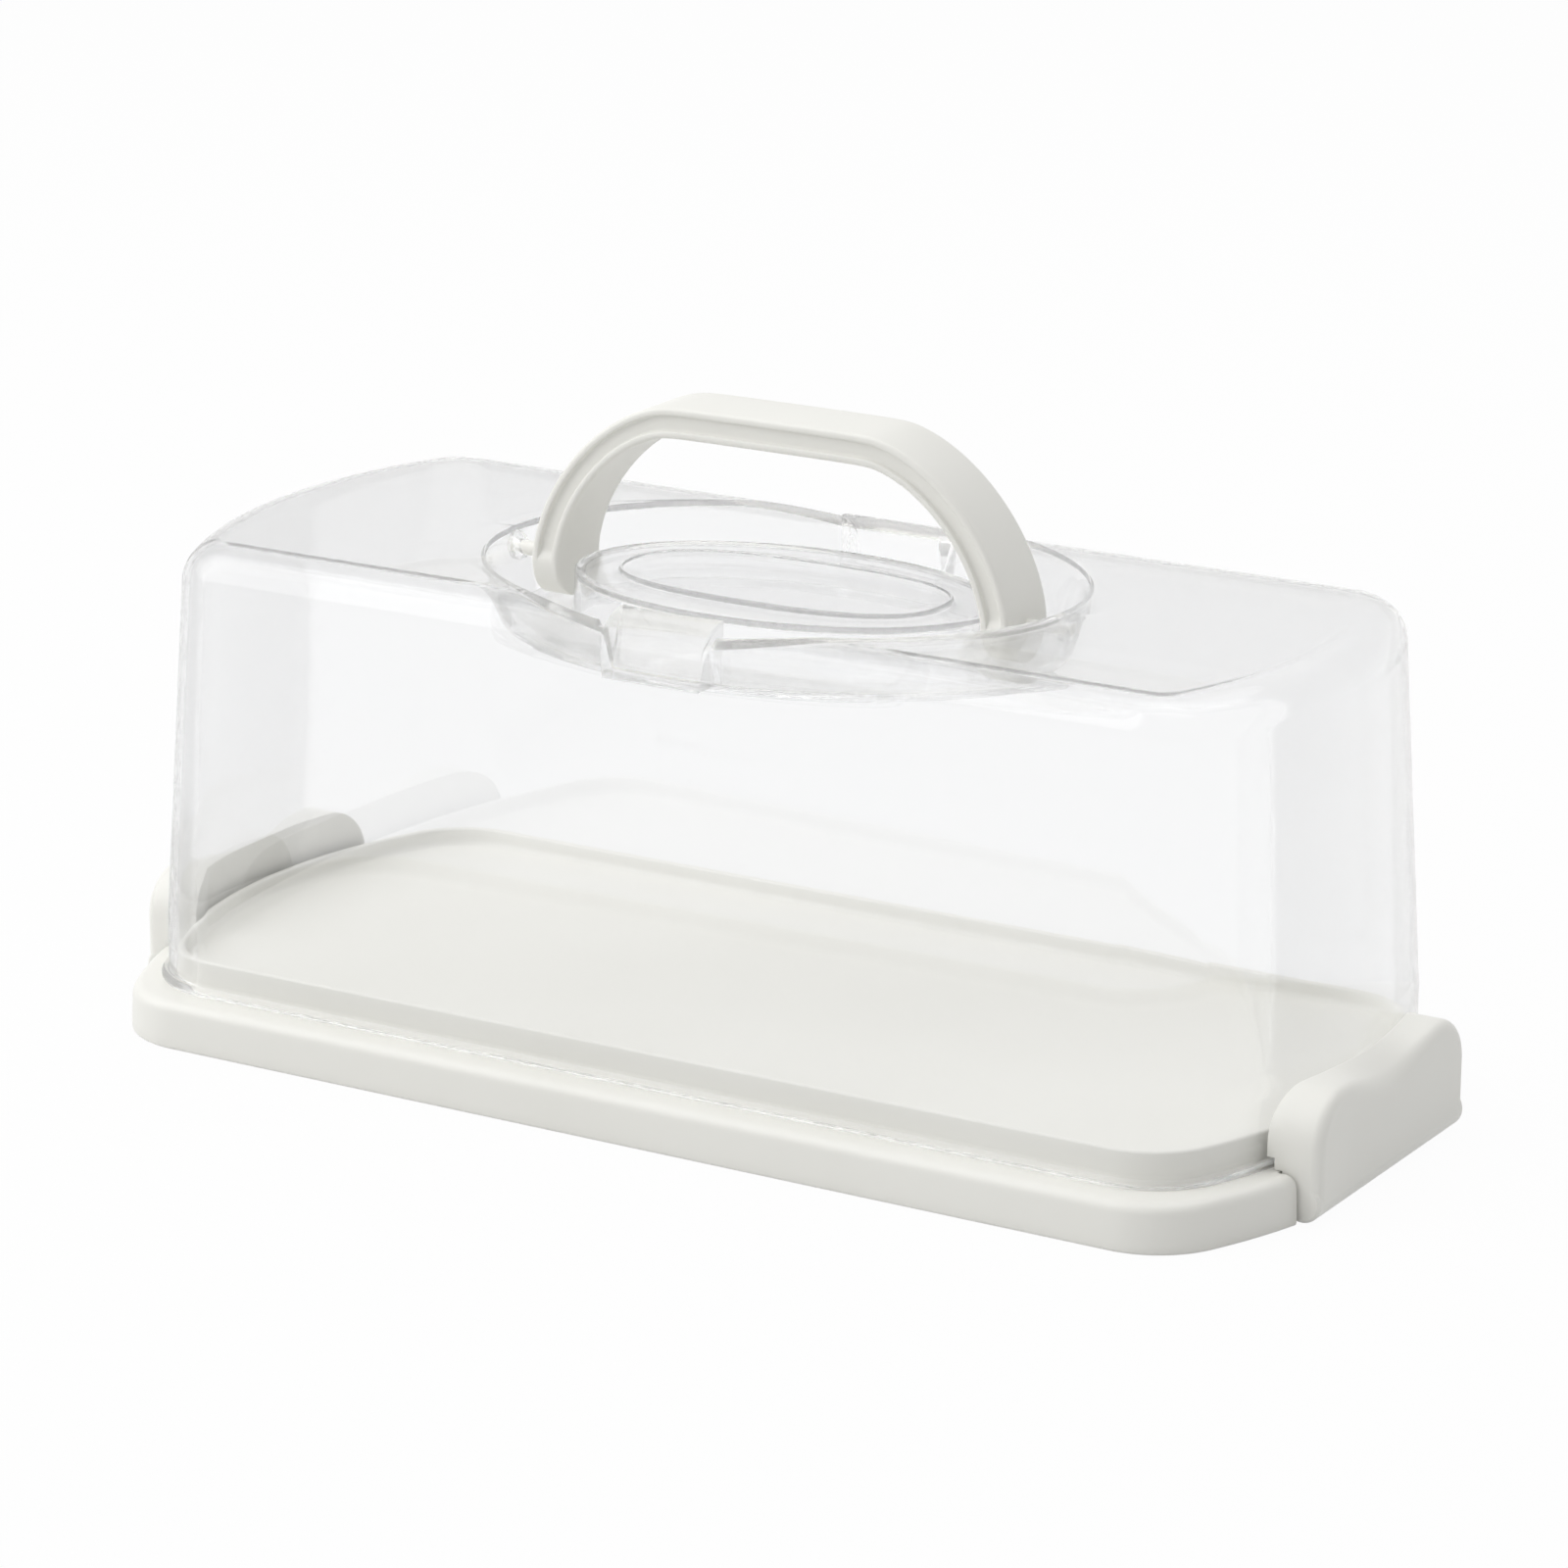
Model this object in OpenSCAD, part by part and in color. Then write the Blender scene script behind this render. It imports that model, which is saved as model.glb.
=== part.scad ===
// Loaf cake carrier: a shallow tray, a clear cover that lifts off it, a latch that clips on each end of
// the tray and swings over the cover's foot, and an arched handle that folds into a recess in the cover.
// X runs along the carrier, Y across it, Z up. The origin is the middle of the footprint.

/* [Footprint] */
// Length over the bowed ends of the tray
tray_l = 360; // [320:5:420]
// Width over the straight sides of the tray
tray_w = 165.6; // [150:2:190]
// Radius of the bow of each end
end_r = 156; // [140:2:260]
// Radius of the tray's vertical corners
corner_r = 24; // [18:1:30]

/* [Tray] */
// Height of the outer flange that the tray stands on
flange_h = 13; // [12:0.5:18]
// Wall of the flange, of its ledge and of the plate
tray_wall = 2.2; // [1.6:0.2:3]
// Distance from the flange's face in to the raised rim
rim_inset = 11.8; // [11.6:0.2:14]
// Height of the raised rim above the ledge
rim_h = 9.3; // [7:0.5:12]
// Thickness of the raised rim
rim_wall = 2; // [1.4:0.2:3]
// Depth of the cake plate below the rim
plate_drop = 4.7; // [2:0.5:6]
// Thickness of the ribs under the plate
rib_wall = 1.6; // [1.2:0.2:2.4]
// Depth of the ribs under the plate
rib_drop = 6; // [3:1:9]
// Ribs across the tray
cross_ribs = 7; // [3:2:11]

/* [Cover] */
// Height of the cover's top above the table
cover_top = 135; // [120:1:160]
// Thickness of the clear walls
cover_wall = 2; // [1.4:0.2:2.6]
// Radius of the soft edge round the top
top_edge_r = 12; // [9:1:16]
// How far the walls lean in on their way up
wall_lean = 5.6; // [4:0.1:8]
// Distance from the tray's face in to the foot flange
foot_inset = 7.4; // [7:0.1:8]
// Thickness of the foot flange
foot_t = 2.7; // [2:0.1:3.5]
// Width of the foot flange beyond the skirt
foot_w = 2; // [1.6:0.1:2.4]
// Height of the upright skirt above the foot flange
skirt_h = 14; // [10:1:18]
// Inward step where the skirt meets the leaning wall
skirt_step = 0.5; // [0.3:0.1:2]

/* [Recess] */
// Length of the oval recess at the top
recess_l = 165; // [160:1:176]
// Width of the oval recess at the top
recess_w = 129; // [127:1:134]
// How far the ends of the recess lean in towards its floor
recess_lean = 5; // [3:0.5:6]
// How far the front and the back of the recess lean in towards its floor
recess_lean_side = 9; // [6:0.5:10]
// Length of the raised oval in the middle of the recess
plateau_l = 121; // [110:1:122]
// Depth of the raised oval below the cover's top
plateau_drop = 4.6; // [3:0.2:7]
// Length of the low pad on the raised oval
pad_l = 95; // [80:1:100]
// Width of the low pad on the raised oval
pad_w = 45; // [36:1:50]
// Height of the low pad
pad_h = 1; // [0.6:0.2:1.6]
// Width of the finger notches in the front and back walls
notch_w = 27; // [22:1:34]
// Depth of the finger notches below the cover's top
notch_depth = 14.4; // [12:0.2:15]
// Radius of the notches' upper corners
notch_r = 4; // [2:0.5:5]

/* [Handle] */
// Length of the handle over its legs
handle_l = 144.6; // [140:0.2:146]
// Height of the handle above the cover's top
handle_rise = 41; // [40:0.5:41.5]
// Width of the handle's strap
strap_w = 21.4; // [18:0.2:22]
// Thickness of the handle's strap
strap_t = 8.4; // [7:0.1:8.4]
// Length of the curved shoulder at each end of the grip
shoulder_l = 44; // [38:1:50]
// Roundness of the shoulders: 2 is an ellipse, less is more of a slope
shoulder_n = 1.7; // [1.5:0.1:2]
// Depth of the groove along both faces
groove_depth = 1.4; // [0.8:0.2:2.4]
// Width of the edge beads beside the groove
bead_w = 2.1; // [1.6:0.1:2.8]
// Height of the handle's pivots below the cover's top
pivot_drop = 6; // [5:0.5:7]
// Diameter of the pivot pins moulded on the legs
pivot_pin_d = 4; // [3:0.5:4.5]

/* [Latches] */
// Width of each latch
latch_w = 84.4; // [70:1:90]
// How far the latch face stands out beyond the flange beside it
latch_proud = 5.7; // [5.4:0.1:7]
// Height of the latch's shoulders, and of its inner edge all along
latch_top = 33; // [30:0.5:36]
// Depth of the finger dip in the latch's face; it runs out towards the cover
latch_dip = 6; // [3:0.5:6]
// Radius of the latch's upper corners
latch_corner_r = 13; // [8:1:14]
// Outer wall of the latch
latch_wall = 2.5; // [2:0.1:2.8]
// Radius of the rolled lower edge round the hinge
barrel_r = 5.3; // [5:0.1:5.5]
// Diameter of the hinge bars moulded in the latch
hinge_bar_d = 3; // [2.4:0.1:3.2]
// Width of each hinge lug on the tray
lug_w = 9; // [6:1:12]
// Distance between the two hinge lugs of one latch
lug_pitch = 48; // [36:2:56]
// Wall of each lug round the hinge bar
lug_wall = 2.1; // [1.6:0.1:2.2]

/* [Fits] */
// Gap between parts that lie next to each other
gap = 0.3; // [0.3:0.05:0.5]
// Gap between the latch and the walls beside it
side_gap = 1; // [0.6:0.1:1.4]
// Radial play of a pin in the part that turns on it
play = 0.06; // [0.03:0.01:0.1]

/* [Hidden] */

tray_white = "#eeede8";
cover_clear = [0.86, 0.88, 0.90, 0.45];

end_steps = 6;          // facets of half a bowed end
corner_steps = 7;       // facets of a corner
edge_steps = 6;         // facets of the soft edge round the top
oval_steps = 72;        // facets of an oval
over = 1;               // how far a cutter runs past what it cuts

// Tray
end_x = tray_l / 2 - end_r;                    // centre of the bow of the right end
rim_top = flange_h + rim_h;
plate_top = rim_top - plate_drop;
plate_under = plate_top - tray_wall;
rim_soft = 0.6;
flange_soft = 2;
flange_draft = 0.4;     // how far the flange leans in on its way up
foot_soft = 0.8;
plate_soft = 1.5;       // rounding where the plate meets the rim

// Cover
foot_z = flange_h + gap;
foot_top = foot_z + foot_t;
skirt_inset = foot_inset + foot_w;
skirt_top = foot_top + skirt_h;
step_h = 8;                                    // height over which the skirt steps in to the leaning wall
wall_start_z = skirt_top + step_h;
wall_start_inset = skirt_inset + skirt_step;
wall_top_z = cover_top - top_edge_r;
corner_ease = 9;
cover_corner_r = corner_r + corner_ease;       // corner radius that the cover's insets are taken from
recess_soft = 1.5;
recess_depth = pivot_drop + strap_w / 2 + gap; // the folded handle just clears the floor
recess_floor = cover_top - recess_depth;
plateau_top = cover_top - plateau_drop;
plateau_lean = 0.4;
plateau_w = 2 * (handle_rise + pivot_drop - strap_t - plateau_lean - gap);  // the folded strap lies round it
notch_taper = 2;
notch_z = cover_top - notch_depth;
rim_fall = 2.5;                                // how far the rounded top edge has fallen at the recess's rim
notch_corner_z = cover_top - recess_soft - rim_fall;
notch_reach = 14;                              // how far in from the recess's front the notch cuts

// Handle
pivot_z = cover_top - pivot_drop;
handle_top = cover_top + handle_rise;
leg_x = handle_l / 2;
pivot_boss_wall = 2;
pivot_boss_r = pivot_pin_d / 2 + pivot_boss_wall;
recess_wall_x = recess_l / 2 - recess_lean * (pivot_drop - recess_soft) / (recess_depth - recess_soft);
boss_proud = 2.5;                              // how far the bosses stand out behind the recess's wall
pivot_boss_end = recess_wall_x + cover_wall + boss_proud;

// Latches, as the right one: its face is flat, and the flange's bow falls back beside it
notch_half = latch_w / 2 + side_gap;
flange_x = end_x + sqrt(pow(end_r, 2) - pow(notch_half, 2));
latch_x = flange_x + latch_proud;
hinge_x = latch_x - barrel_r;
latch_lift = 0.5;                              // height of the rolled edge above the table
hinge_z = barrel_r + latch_lift;
latch_gap = gap + 0.05;                        // kept a little wider than the gap, for the faceted curves
hook_z = foot_top + latch_gap;
hook_r = end_r - skirt_inset + latch_gap;
pocket_r = end_r - foot_inset + latch_gap;
pocket_z = hinge_z + barrel_r - gap;           // low enough to swing past the edge of the foot flange
roll_gap = 0.7;                                // room for the rolled edge to turn in
notch_x = hinge_x - barrel_r - roll_gap;       // back wall of the latch notch
latch_reach = 8;                               // how far the latch's shoulders reach in over the tray
latch_x0 = notch_x - latch_reach;
dip_x0 = end_x + hook_r - gap;                 // where the finger dip starts, at the latch's inner edge
hook_wall = 2;                                 // inner wall of the latch, along the cover
lug_r = hinge_bar_d / 2 + lug_wall;
snap_share = 0.8;
snap_w = hinge_bar_d * snap_share;             // mouth of the lug that the hinge bar snaps through
lug_gap = 0.5;                                 // room for the lug in its slot
slot_r = lug_r + lug_gap;
slot_w = lug_w + 2 * (lug_gap - 0.1);
lug_web_under = 1.5;                           // how far the lug's web reaches below the hinge line

// ---- Outlines ----

// First quadrant of the footprint, moved in by inset, with corners of radius r
function quadrant(inset, r) =
    let (
        re = end_r - inset,
        yc = tray_w / 2 - inset - r,
        xc = sqrt(pow(re - r, 2) - pow(yc, 2)),
        turn = atan2(yc, xc)
    )
    concat(
        [for (i = [0:end_steps - 1]) [end_x + re * cos(turn * i / end_steps), re * sin(turn * i / end_steps)]],
        [for (i = [0:corner_steps])
            let (a = turn + (90 - turn) * i / corner_steps)
            [end_x + xc + r * cos(a), yc + r * sin(a)]]
    );

// The whole footprint, anticlockwise
function footprint(inset, r) =
    let (q = quadrant(inset, r), n = len(q) - 1)
    concat(
        q,
        [for (i = [n:-1:0]) [-q[i].x, q[i].y]],
        [for (i = [1:n]) [-q[i].x, -q[i].y]],
        [for (i = [n:-1:1]) [q[i].x, -q[i].y]]
    );

function tray_ring(inset, z) = [footprint(inset, max(corner_r - inset * 0.2, 2)), z];
function cover_ring(inset, z) = [footprint(inset, max(cover_corner_r - inset, 1)), z];

function oval(l, w) =
    [for (i = [0:oval_steps - 1]) [l / 2 * cos(360 * i / oval_steps), w / 2 * sin(360 * i / oval_steps)]];
function oval_ring(l, w, z) = [oval(l, w), z];

// Solid through a stack of rings [outline, z], all with the same number of points
module loft(rings) {
    n = len(rings[0][0]);
    top = (len(rings) - 1) * n;
    polyhedron(
        points = [for (ring = rings) for (p = ring[0]) [p.x, p.y, ring[1]]],
        faces = concat(
            [[for (i = [0:n - 1]) i]],
            [[for (i = [n - 1:-1:0]) top + i]],
            [for (k = [0:len(rings) - 2]) for (i = [0:n - 1]) [k * n + i, (k + 1) * n + i, (k + 1) * n + (i + 1) % n]],
            [for (k = [0:len(rings) - 2]) for (i = [0:n - 1]) [k * n + i, (k + 1) * n + (i + 1) % n, k * n + (i + 1) % n]]
        ),
        convexity = 6
    );
}

module both_ends() {
    children();
    mirror([1, 0, 0]) children();
}

module both_sides() {
    children();
    mirror([0, 1, 0]) children();
}

// Round bar along X from x0, or along Y from y0
module bar_x(r, x0, l) {
    translate([x0, 0, 0]) rotate([0, 90, 0]) cylinder(r = r, h = l, $fn = 48);
}

module bar_y(r, y0, l) {
    translate([0, y0, 0]) rotate([-90, 0, 0]) cylinder(r = r, h = l, $fn = 48);
}

// ---- Tray ----

module tray_block() {
    loft([
        tray_ring(foot_soft, 0),
        tray_ring(foot_soft * 0.3, foot_soft * 0.3),
        tray_ring(0, foot_soft),
        tray_ring(flange_draft, flange_h - flange_soft),
        tray_ring(flange_draft + flange_soft * 0.3, flange_h - flange_soft * 0.3),
        tray_ring(flange_draft + flange_soft, flange_h),
        tray_ring(rim_inset, flange_h),
        tray_ring(rim_inset, rim_top - rim_soft),
        tray_ring(rim_inset + rim_soft, rim_top)
    ]);
}

module plate_recess() {
    inset = rim_inset + rim_wall;
    loft([
        tray_ring(inset + plate_soft, plate_top),
        tray_ring(inset + plate_soft * 0.25, plate_top + plate_soft * 0.75),
        tray_ring(inset, rim_top - rim_soft),
        tray_ring(inset - rim_soft, rim_top + over)
    ]);
}

// Space under the tray: below the ledge, and further up below the plate
module tray_hollow() {
    loft([
        tray_ring(tray_wall, -over),
        tray_ring(tray_wall + flange_draft, flange_h - tray_wall),
        tray_ring(rim_inset + rim_wall, flange_h - tray_wall),
        tray_ring(rim_inset + rim_wall, plate_under)
    ]);
}

module tray_ribs() {
    rib_z = plate_under - rib_drop;
    pitch = (tray_l - 2 * rim_inset) / (cross_ribs + 1);
    for (i = [-(cross_ribs - 1) / 2:(cross_ribs - 1) / 2])
        translate([i * pitch - rib_wall / 2, -tray_w / 2, rib_z]) cube([rib_wall, tray_w, rib_drop + over]);
    for (y = [-tray_w / 6, tray_w / 6])
        translate([-tray_l / 2, y - rib_wall / 2, rib_z]) cube([tray_l, rib_wall, rib_drop + over]);
}

// Walls that close the flange round a latch notch
module notch_walls() {
    translate([notch_x - tray_wall, -notch_half - tray_wall, -over])
        cube([tray_l, 2 * (notch_half + tray_wall), plate_under + 2 * over]);
}

module latch_notch() {
    translate([notch_x, -notch_half, -over]) cube([tray_l, 2 * notch_half, flange_h + over]);
}

module hinge_lug() {
    translate([hinge_x, 0, hinge_z]) {
        bar_y(lug_r, -lug_w / 2, lug_w);
        translate([notch_x - hinge_x - over, -lug_w / 2, -lug_web_under])
            cube([hinge_x - notch_x + over, lug_w, lug_r + lug_web_under]);
    }
}

// Bore for the hinge bar, open below so that the bar can be snapped in
module lug_bore() {
    translate([hinge_x, 0, hinge_z]) {
        bar_y(hinge_bar_d / 2 + play, -lug_w / 2 - over, lug_w + 2 * over);
        translate([-snap_w / 2, -lug_w / 2 - over, -hinge_z]) cube([snap_w, lug_w + 2 * over, hinge_z]);
    }
}

module tray() {
    color(tray_white) difference() {
        union() {
            difference() {
                tray_block();
                plate_recess();
                difference() {
                    tray_hollow();
                    tray_ribs();
                    both_ends() notch_walls();
                }
                both_ends() latch_notch();
            }
            both_ends() both_sides() translate([0, lug_pitch / 2, 0]) hinge_lug();
        }
        both_ends() both_sides() translate([0, lug_pitch / 2, 0]) lug_bore();
    }
}

// ---- Cover ----

// The outer skin, and with a wall thickness t the space inside it
module cover_dome(t) {
    edge_r = top_edge_r - t;
    top_inset = wall_start_inset + wall_lean + t;
    base = t == 0
        ? [cover_ring(foot_inset, foot_z), cover_ring(foot_inset, foot_top), cover_ring(skirt_inset, foot_top)]
        : [cover_ring(skirt_inset + t, foot_z - over)];
    loft(concat(
        base,
        [
            cover_ring(skirt_inset + t, skirt_top),
            cover_ring(skirt_inset + t + skirt_step * 0.25, skirt_top + step_h * 0.3),
            cover_ring(skirt_inset + t + skirt_step * 0.75, skirt_top + step_h * 0.7),
            cover_ring(wall_start_inset + t, wall_start_z)
        ],
        [for (i = [0:edge_steps])
            let (a = 90 * i / edge_steps)
            cover_ring(top_inset + edge_r * (1 - cos(a)), wall_top_z + edge_r * sin(a))]
    ));
}

// The oval recess, grown by t to make the clear wall round it
module recess_bowl(t) {
    l = recess_l + 2 * t;
    w = recess_w + 2 * t;
    loft([
        oval_ring(l - 2 * recess_lean, w - 2 * recess_lean_side, recess_floor - t),
        oval_ring(l, w, cover_top - recess_soft),
        oval_ring(l + 2 * recess_soft, w + 2 * recess_soft, cover_top + over)
    ]);
}

// The raised oval in the recess, shrunk by t to make the space under it
module plateau(t) {
    l = plateau_l - 2 * t;
    w = plateau_w - 2 * t;
    loft([
        oval_ring(l + 2 * plateau_lean, w + 2 * plateau_lean, recess_floor - t - over),
        oval_ring(l, w, plateau_top - t - 1),
        oval_ring(l - 2, w - 2, plateau_top - t)
    ]);
}

module pad() {
    loft([
        oval_ring(pad_l, pad_w, plateau_top - over),
        oval_ring(pad_l, pad_w, plateau_top + pad_h * 0.4),
        oval_ring(pad_l - 1.6, pad_w - 1.6, plateau_top + pad_h)
    ]);
}

// Finger notch through the front wall, grown by t to make the walls round it
module finger_notch(t) {
    half = notch_w / 2 + t;
    side = [
        [half - notch_taper / 2, notch_z - t],
        [half, notch_corner_z - notch_r],
        for (a = [15:15:90]) [half + notch_r * (1 - cos(a)), notch_corner_z - notch_r * (1 - sin(a))],
        [half + notch_r, cover_top + over]
    ];
    rotate([90, 0, 0]) linear_extrude(height = tray_w / 2)
        polygon(concat(side, [for (i = [len(side) - 1:-1:0]) [-side[i].x, side[i].y]]));
}

module finger_notches(t) {
    both_sides() difference() {
        finger_notch(t);
        translate([-tray_l / 2, notch_reach - recess_w / 2, 0]) cube([tray_l, tray_w, cover_top + 2 * over]);
    }
}

module pivot_boss() {
    translate([0, 0, pivot_z]) bar_x(pivot_boss_r, recess_wall_x - over, pivot_boss_end - recess_wall_x + over);
}

module pivot_bore() {
    x0 = recess_wall_x - recess_lean;
    translate([0, 0, pivot_z]) bar_x(pivot_pin_d / 2 + play, x0, pivot_boss_end + over - x0);
}

module cover() {
    color(cover_clear) difference() {
        cover_dome(0);
        difference() {
            cover_dome(cover_wall);
            recess_bowl(cover_wall);
            finger_notches(cover_wall);
            both_ends() pivot_boss();
        }
        difference() {
            recess_bowl(0);
            plateau(0);
            pad();
        }
        plateau(cover_wall);
        finger_notches(0);
        both_ends() pivot_bore();
    }
}

// ---- Handle ----

// Right half of the arch in the X-Z plane, moved in by inset, from the leg's foot up to the grip
function arch_half(inset, foot_z) =
    let (l = shoulder_l - inset, h = handle_top - pivot_z - inset)
    concat(
        [[leg_x - inset, foot_z]],
        [for (a = [0:5:90]) [
            leg_x - shoulder_l + l * pow(cos(a), 2 / shoulder_n),
            pivot_z + h * pow(sin(a), 2 / shoulder_n)
        ]]
    );

function arch(inset, foot_z) =
    let (half = arch_half(inset, foot_z))
    concat(half, [for (i = [len(half) - 1:-1:0]) [-half[i].x, half[i].y]]);

module arch_strap(inner, outer, y0, depth) {
    foot_z = pivot_z - strap_w;
    translate([0, y0 + depth, 0]) rotate([90, 0, 0]) linear_extrude(height = depth) difference() {
        polygon(arch(outer, foot_z));
        polygon(arch(inner, foot_z - over));
    }
}

// Side view of the strap: straight edges down to the round leg ends
module strap_side() {
    translate([0, 0, pivot_z]) bar_x(strap_w / 2, -leg_x - over, handle_l + 2 * over);
    translate([-leg_x - over, -strap_w / 2, pivot_z]) cube([handle_l + 2 * over, strap_w, handle_top]);
}

module strap_groove() {
    difference() {
        arch_strap(strap_t - bead_w, bead_w, -strap_w / 2 - over, groove_depth + over);
        translate([-handle_l, -strap_w, 0]) cube([2 * handle_l, 2 * strap_w, pivot_z + bead_w]);
    }
}

module handle() {
    color(tray_white) {
        difference() {
            intersection() {
                arch_strap(strap_t, 0, -strap_w / 2, strap_w);
                strap_side();
            }
            both_sides() strap_groove();
        }
        both_ends() translate([0, 0, pivot_z]) bar_x(pivot_pin_d / 2, leg_x - over, pivot_boss_end - leg_x + over);
    }
}

// ---- Latches ----

// Front view of a latch, moved in by d, with a dip between its two shoulders
function latch_top_edge(d, dip) =
    let (half = latch_w / 2 - d, r = latch_corner_r - d, flat = half - r)
    concat(
        [for (a = [0:15:90]) [flat + r * cos(a), latch_top - latch_corner_r + r * sin(a)]],
        [for (i = [1:11]) [flat * (1 - i / 6), latch_top - d - dip / 2 * (1 - cos(30 * i))]],
        [for (a = [90:15:180]) [-flat + r * cos(a), latch_top - latch_corner_r + r * sin(a)]]
    );

module latch_front(d, dip, z0, x0, x1) {
    half = latch_w / 2 - d;
    translate([x0, 0, 0]) rotate([90, 0, 90]) linear_extrude(height = x1 - x0)
        polygon(concat(latch_top_edge(d, dip), [[-half, z0], [half, z0]]));
}

// The finger dip: it starts at the latch's inner edge and is deepest at its face
module finger_dip() {
    flat = latch_w / 2 - latch_corner_r;
    reach = latch_x - dip_x0;
    tilt = atan2(latch_dip, reach);
    depth = latch_dip * cos(tilt);
    translate([dip_x0, 0, latch_top]) rotate([0, tilt, 0]) translate([-over, 0, 0]) rotate([90, 0, 90])
        linear_extrude(height = 2 * reach) polygon(concat(
            [for (i = [0:12]) [flat * (1 - i / 6), depth / 2 * (1 + cos(30 * i))]],
            [[-flat, 2 * latch_dip], [flat, 2 * latch_dip]]
        ));
}

// The part of the cover's end that the latch closes on, as a round bar of radius r
module bow(r, z0, z1) {
    translate([end_x, 0, z0]) cylinder(r = r, h = z1 - z0, $fn = 180);
}

// Hollow between the latch's outer wall and its hooked inner wall, open below
module latch_hollow() {
    difference() {
        latch_front(latch_wall, latch_dip, hook_z - over, latch_x0, latch_x - latch_wall);
        bow(hook_r + hook_wall, hook_z - 2 * over, latch_top + over);
        for (y = [-1, 0, 1]) translate([0, y * latch_w / 4 - rib_wall / 2, 0]) cube([tray_l, rib_wall, latch_top]);
    }
}

// Slot in the rolled edge that the lug turns in, open inwards and below
module lug_slot() {
    reach = 2 * barrel_r;
    translate([hinge_x, 0, hinge_z]) {
        bar_y(slot_r, -slot_w / 2, slot_w);
        translate([-reach, -slot_w / 2, 0]) cube([reach, slot_w, slot_r]);
        translate([-reach, -slot_w / 2, -reach]) cube([reach + lug_web_under + gap, slot_w, reach]);
    }
}

module latch() {
    color(tray_white) {
        difference() {
            union() {
                latch_front(0, 0, hinge_z, latch_x0, latch_x);
                translate([hinge_x, 0, hinge_z]) bar_y(barrel_r, -latch_w / 2, latch_w);
            }
            translate([0, -latch_w, -over]) cube([hinge_x - barrel_r, 2 * latch_w, foot_z + over]);
            bow(pocket_r, pocket_z, hook_z);
            bow(hook_r, hook_z - over, latch_top + over);
            latch_hollow();
            finger_dip();
            both_sides() translate([0, lug_pitch / 2, 0]) lug_slot();
        }
        both_sides() translate([hinge_x, lug_pitch / 2, hinge_z])
            bar_y(hinge_bar_d / 2, -slot_w / 2 - over, slot_w + 2 * over);
    }
}

tray();
cover();
handle();
mirror([1, 0, 0]) latch();  // latch_left
latch();  // latch_right
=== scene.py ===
import bpy
import bmesh
import math
import numpy as np
from mathutils import Matrix

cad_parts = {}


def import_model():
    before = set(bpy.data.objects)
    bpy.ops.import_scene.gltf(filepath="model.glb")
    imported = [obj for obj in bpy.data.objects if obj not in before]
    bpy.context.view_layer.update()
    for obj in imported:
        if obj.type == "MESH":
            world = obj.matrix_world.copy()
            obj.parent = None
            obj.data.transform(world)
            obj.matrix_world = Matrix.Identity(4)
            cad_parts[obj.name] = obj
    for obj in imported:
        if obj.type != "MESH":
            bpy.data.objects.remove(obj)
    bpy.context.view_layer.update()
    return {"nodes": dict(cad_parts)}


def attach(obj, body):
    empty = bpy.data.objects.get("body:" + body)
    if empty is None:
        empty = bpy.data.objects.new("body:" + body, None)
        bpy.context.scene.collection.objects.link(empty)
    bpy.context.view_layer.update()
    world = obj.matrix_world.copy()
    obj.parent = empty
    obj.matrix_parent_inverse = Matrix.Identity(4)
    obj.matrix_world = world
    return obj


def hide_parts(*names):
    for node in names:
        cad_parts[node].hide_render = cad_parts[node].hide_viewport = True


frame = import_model()

MM = 0.001
PI = math.pi

# ---------------------------------------------------------------- sizes in mm, as in the part
# tray: half of its plan is an end arc, a corner arc and a straight side
TRAY_L, TRAY_W, END_R = 360.0, 165.6, 156.0
END_X = TRAY_L / 2 - END_R
TRAY_CORNER = 24.0
FLANGE_H, RIM_TOP, PLATE_TOP, PLATE_UNDER = 13.0, 22.3, 17.6, 15.4
RIM_INSET, RIM_WALL, TRAY_WALL = 11.8, 2.0, 2.2
FLANGE_R, BASE_R, RIM_R, LEDGE_R, PLATE_R = 3.0, 1.0, 0.75, 0.8, 1.6
RIB_HALF, RIB_H, RIB_BAYS = 0.8, 6, 8
NOTCH_X, NOTCH_Y = 168.3, 43.2

# cover: foot and skirt, leaning wall, rounded top edge
SKIRT_INSET, FOOT_Z, SKIRT_TOP = 9.4, 13.3, 30.0
WALL_Z0, WALL_I0, WALL_LEAN, WALL_Z1, EDGE_R = 38.0, 9.9, 5.6, 123.0, 12.0
COVER_WALL, COVER_CORNER = 2.0, 33.0
SKIRT_INSIDE = SKIRT_INSET + COVER_WALL
STEP = WALL_I0 - SKIRT_INSET

# cover: recess, plateau, pad and finger notch; A is along X and B along Y
RECESS_A, RECESS_B, RECESS_SOFT = 82.5, 64.5, 1.5
LEAN_A, LEAN_B, FLOOR_Z = 5.0, 9.0, 118.0
RIM_Z, RIM_RISE = 133.5, 2.5
PLATEAU_A, PLATEAU_B, PLATEAU_Z, PLATEAU_LEAN = 60.5, 37.9, 130.4, 0.4
PAD_A, PAD_B, PAD_H = 47.5, 22.5, 0.2
NOTCH_HALF, NOTCH_Z, NOTCH_CORNER_Z, NOTCH_R = 13.5, 120.6, 131.0, 4.0

# handle and its pivots
PIVOT_Z, HANDLE_TOP, LEG_X = 129.0, 176.0, 72.3
STRAP_HALF, STRAP_T, SHOULDER_L, SHOULDER_N = 10.7, 8.4, 44.0, 1.7
STRAP_EDGE, BEAD_W, GROOVE = 1.1, 2.1, 1.4
PIN_R, PIN_GAP, BOSS_R, BOSS_START, BOSS_END = 2.0, 0.06, 4.0, 82.4, 85.55

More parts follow.
